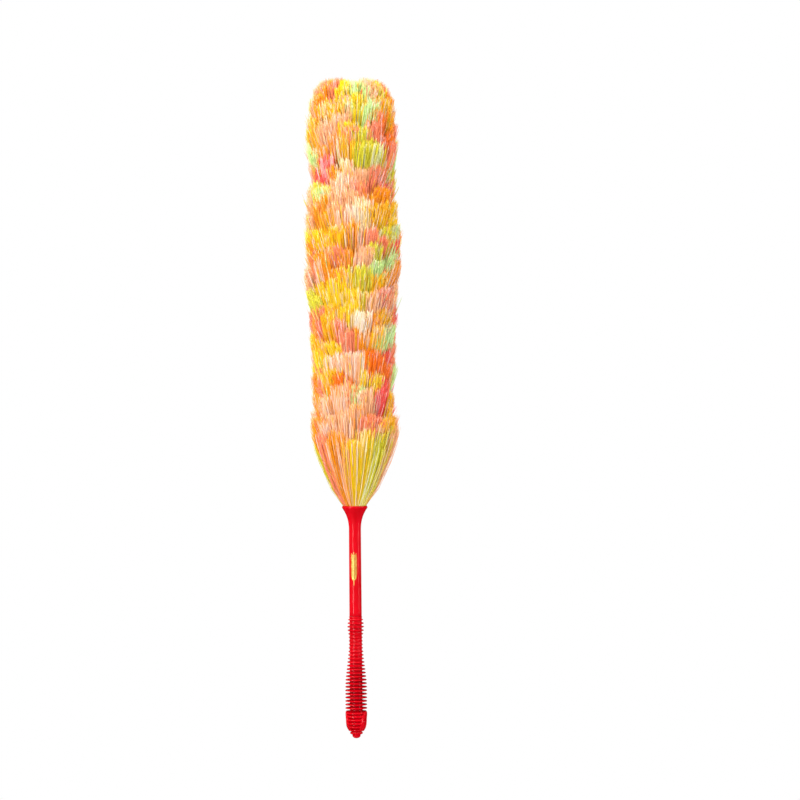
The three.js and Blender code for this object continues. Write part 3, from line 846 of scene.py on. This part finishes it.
def fibre_paths(rng, tier, locks):
    """Points along each fibre, which leaves the core at an angle and curls upward."""
    lock = np.repeat(np.arange(len(locks["dye"])), LOCK_FIBRES)
    count = len(lock)
    root_r = CORE_RADIUS + rng.uniform(*ROOT_DEPTH, count)
    root_z = ROOTS[tier] + rng.uniform(0, TIER_PITCH, count)
    tip_z = ROOTS[tier] + FIBRE_HEIGHT + locks["height"][lock] - np.abs(rng.normal(0, TIP_LOSS, count))
    tip_z -= np.where(rng.random(count) < SHORT_FIBRES, rng.uniform(0, SHORTEST_BY, count), 0)
    reach = locks["reach"][lock]
    if tier == len(TIERS) - 1:
        out = locks["out"][lock]
        tip_z = np.interp(out, CROWN_RADII, CROWN_HEIGHTS) + CROWN_UNEVENNESS * locks["height"][lock]
        tip_z -= np.abs(rng.normal(0, CROWN_TIP_LOSS, count))
        tip_r = out * (CROWN_EVEN_SHARE + (1 - CROWN_EVEN_SHARE) * reach)
    else:
        tip_r = np.interp(tip_z, HEAD_HEIGHTS, HEAD_RADII) * reach + TIP_PROUD
    stray = rng.random(count) < STRAY_FIBRES
    tip_r = np.where(stray, tip_r * rng.uniform(*STRAY_REACH, count), tip_r)
    s = FIBRE_STATIONS[None, :]
    bend = locks["bend"][lock][:, None]
    radius = root_r[:, None] + (tip_r - root_r)[:, None] * ((1 + bend) * s - bend * s**2)
    z = root_z[:, None] + (tip_z - root_z)[:, None] * (FIBRE_RISE * s + FIBRE_LATE_RISE * s**2)
    turn = locks["tip_angle"] - locks["root_angle"]
    angle = locks["root_angle"][lock][:, None] + turn[lock][:, None] * s
    apart = FIBRE_SPREAD[None, :] * (OPEN_SCATTER if tier < OPEN_TIERS else INNER_SCATTER)
    radius = radius + rng.normal(0, SCATTER, (count, 1)) * apart
    radius = radius + rng.normal(0, WAVER_OUT, radius.shape) * s
    sideways = rng.normal(0, SCATTER, (count, 1)) * apart
    sideways = sideways + rng.normal(0, WAVER_SIDEWAYS, radius.shape) * s
    angle = angle + sideways / np.maximum(radius, NEAREST_AXIS)
    inside = np.minimum(flare_inside(z) - FLARE_CLEARANCE, MOUTH_RADIUS)
    radius = np.where(z < RIM_TOP + RIM_CLEARANCE, np.minimum(radius, inside), radius)
    z = np.minimum(z, HEAD_TOP + TOP_CLEARANCE)
    return lock, radius, angle, z


def fibre_mesh(name, points, roll, painted_shade_number, outer_number):
    """Closed three-sided fibres with blunt tips: each has its dye's material outside the head and a
    painted-shade material on its stretches inside.
    """
    count, stations = points.shape[:2]
    rings = stations - 1
    tangent = np.gradient(points, axis=1)
    tangent /= np.linalg.norm(tangent, axis=2, keepdims=True)
    across = np.cross([0.0, 0.0, 1.0], tangent)
    across /= np.linalg.norm(across, axis=2, keepdims=True)
    normal = np.cross(tangent, across)
    cos, sin = np.cos(roll)[:, None, None], np.sin(roll)[:, None, None]
    wide = across * cos + normal * sin
    thick = normal * cos - across * sin
    corners = []
    for corner in range(3):
        turn = 2 * math.pi * corner / 3
        offset = FIBRE_HALF_WIDTH * math.sin(turn) * wide + FIBRE_HALF_THICKNESS * math.cos(turn) * thick
        corners.append(points[:, :rings] + offset[:, :rings] * FIBRE_TAPER[None, :, None])
    body = np.stack(corners, 2).reshape(count, rings * 3, 3)
    everything = np.concatenate([body, points[:, -1:]], axis=1)
    size = rings * 3 + 1
    quads = [
        (3 * ring + v, 3 * ring + 3 + v, 3 * ring + 3 + (v + 1) % 3, 3 * ring + (v + 1) % 3)
        for ring in range(rings - 1)
        for v in range(3)
    ]
    last = 3 * (rings - 1)
    tris = [(last + v, size - 1, last + (v + 1) % 3) for v in range(3)] + [(0, 1, 2)]
    start = (np.arange(count) * size)[:, None, None]
    quad_loops = (start + np.array(quads)[None]).reshape(-1)
    tri_loops = (start + np.array(tris)[None]).reshape(-1)
    starts = np.concatenate([
        np.arange(count * len(quads)) * 4,
        len(quad_loops) + np.arange(count * len(tris)) * 3,
    ])
    loops = np.concatenate([quad_loops, tri_loops])
    mesh = mesh_from_arrays(name, everything.reshape(-1, 3), loops, starts)
    ring_of_quad = np.repeat(np.arange(rings - 1), 3)
    # painted shade: the stretches nearest the root take the darker, warmer material
    quad_numbers = np.where(ring_of_quad < PAINTED_SHADE_RINGS, painted_shade_number[:, None], outer_number[:, None])
    numbers = np.concatenate([quad_numbers.ravel(), np.repeat(outer_number, len(tris))])
    mesh.polygons.foreach_set("material_index", numbers.astype(np.int32))
    return mesh


def make_head():
    """All the bundles of fibres, one mesh each."""
    rng = np.random.default_rng(HEAD_SEED)
    palette = [fibre_material(letter, tint) for letter in LETTERS for tint in range(len(TINTS))]
    # painted shade: a warmer, darker copy of each dye for the fibres' stretches inside the head
    palette += [fibre_material(letter) for letter in LETTERS]
    for tier, node in enumerate(TIERS):
        locks = make_locks(rng, tier)
        lock, radius, angle, z = fibre_paths(rng, tier, locks)
        points = np.stack([radius * np.sin(angle), -radius * np.cos(angle), z], -1)
        dye = locks["dye"][lock]
        outer = dye * len(TINTS) + locks["tint"][lock]
        # painted shade on the inner stretches, except in the open lowest bundles
        inner = outer if tier < OPEN_TIERS else dye + len(LETTERS) * len(TINTS)
        roll = rng.normal(0, FIBRE_ROLL_SPREAD, len(lock))
        mesh = fibre_mesh(node + "_fibres", points, roll, inner, outer)
        place(new_object(node + "_fibres", mesh, palette), "fibre", node)


# ---------------------------------------------------------------- stage, light and camera
FLOOR_Z, FLOOR_RADIUS, FLOOR_SEGMENTS = -0.35, 1.2, 96


def make_floor():
    """A plain pale disc well below the duster, which hangs in the air as if held."""
    material, tree, shader, at = node_material("studio_floor")
    pale = ramp(tree, noise(tree, at, scale=0.8), (0.86, 0.86, 0.86), (0.88, 0.88, 0.88))
    tree.links.new(pale, shader.inputs["Base Color"])
    shader.inputs["Roughness"].default_value = 0.9
    mesh = bpy.data.meshes.new("studio_floor")
    shape = bmesh.new()
    bmesh.ops.create_circle(shape, cap_ends=True, segments=FLOOR_SEGMENTS, radius=FLOOR_RADIUS)
    shape.to_mesh(mesh)
    shape.free()
    floor = new_object("studio_floor", mesh, [material])
    floor.location.z = FLOOR_Z
    floor.visible_glossy = False
    floor.visible_diffuse = False


# The surroundings brighten evenly toward one direction, up and to the left.
FILL_DARK, FILL_BRIGHT = 1.0, 1.95
FILL_DIRECTION = (Vector((0, 0, 1)) - 0.7 * CAMERA_RIGHT + 0.15 * TOWARD_CAMERA).normalized()
FILL_GLOSS, SEEN_WHITE = 0.02, 1.0  # how bright they are in reflections, and as seen behind the duster


def make_world():
    """White surroundings, seen as pure white, that give a soft fill which is stronger from one side."""
    world = bpy.data.worlds.new("studio")
    bpy.context.scene.world = world
    world.use_nodes = True
    tree = world.node_tree
    tree.nodes.clear()
    path = tree.nodes.new("ShaderNodeLightPath")
    out = tree.nodes.new("ShaderNodeOutputWorld")
    direction = tree.nodes.new("ShaderNodeTexCoord")
    toward = tree.nodes.new("ShaderNodeVectorMath")
    toward.operation = "DOT_PRODUCT"
    toward.inputs[1].default_value = FILL_DIRECTION
    tree.links.new(direction.outputs["Generated"], toward.inputs[0])
    fill = tree.nodes.new("ShaderNodeMapRange")
    fill.inputs["From Min"].default_value = -1
    fill.inputs["From Max"].default_value = 1
    fill.inputs["To Min"].default_value = FILL_DARK
    fill.inputs["To Max"].default_value = FILL_BRIGHT
    tree.links.new(toward.outputs["Value"], fill.inputs["Value"])
    shader = tree.nodes.new("ShaderNodeBackground")
    shader.inputs["Color"].default_value = (1, 1, 1, 1)
    tree.links.new(fill.outputs["Result"], shader.inputs["Strength"])
    for ray, strength in (("Is Glossy Ray", FILL_GLOSS), ("Is Camera Ray", SEEN_WHITE)):
        background = tree.nodes.new("ShaderNodeBackground")
        background.inputs["Color"].default_value = (1, 1, 1, 1)
        background.inputs["Strength"].default_value = strength
        either = tree.nodes.new("ShaderNodeMixShader")
        tree.links.new(path.outputs[ray], either.inputs[0])
        tree.links.new(shader.outputs[0], either.inputs[1])
        tree.links.new(background.outputs[0], either.inputs[2])
        shader = either
    tree.links.new(shader.outputs[0], out.inputs["Surface"])


AIM_HEIGHT = 0.33
# Name, azimuth, height, distance, width, length and power of each light.
KEY_LIGHTS = (
    ("key_left", -42, 1.75, 1.3, 1.2, 1.0, 24),
    ("key_right", 50, 1.5, 1.4, 0.9, 0.9, 5),
    ("key_back", -160, 1.6, 1.4, 1.2, 1.0, 20),
)
STRIP_LIGHTS = (
    ("strip_left", -40, 0.30, 1.5, 0.16, 1.2, 9),
    ("strip_right", 70, 0.30, 1.5, 0.12, 1.2, 4),
)


def softbox(name, azimuth, height, distance, width, tall, power):
    """A soft rectangular light, its azimuth in degrees to the right of the camera's direction."""
    turn = CAMERA_AZIMUTH + math.radians(azimuth)
    light = bpy.data.lights.new(name, "AREA")
    light.shape = "RECTANGLE"
    light.size = width
    light.size_y = tall
    light.energy = power
    lamp = bpy.data.objects.new(name, light)
    bpy.context.scene.collection.objects.link(lamp)
    lamp.location = (distance * math.sin(turn), -distance * math.cos(turn), height)
    aim = Vector((0, 0, AIM_HEIGHT)) - lamp.location
    lamp.rotation_euler = aim.to_track_quat("-Z", "Y").to_euler()
    lamp.visible_camera = False
    return lamp


def make_lights():
    for light in KEY_LIGHTS:
        softbox(*light)
    for light in STRIP_LIGHTS:
        softbox(*light).visible_diffuse = False  # only for the long highlights on the handle


def make_camera():
    lens = bpy.data.cameras.new("camera")
    lens.sensor_width = SENSOR
    lens.lens = SENSOR * CAMERA_DISTANCE / FIELD_WIDTH
    lens.clip_end = CLIP_END
    camera = bpy.data.objects.new("camera", lens)
    bpy.context.scene.collection.objects.link(camera)
    centre = CAMERA_RIGHT * VIEW_OFFSET + Vector((0, 0, VIEW_CENTRE_Z))
    camera.location = (centre + TOWARD_CAMERA * CAMERA_DISTANCE) * MM
    level = (-TOWARD_CAMERA).to_track_quat("-Z", "Y")
    camera.rotation_euler = (Quaternion(TOWARD_CAMERA, CAMERA_ROLL) @ level).to_euler()
    bpy.context.scene.camera = camera


RED = red_plastic()
make_camera()
make_world()
make_lights()
make_floor()
make_grip()
make_shaft()
make_foil()
make_wires()
make_glue()
make_wire_cap()
make_head()
bpy.context.scene.view_settings.view_transform = "Standard"
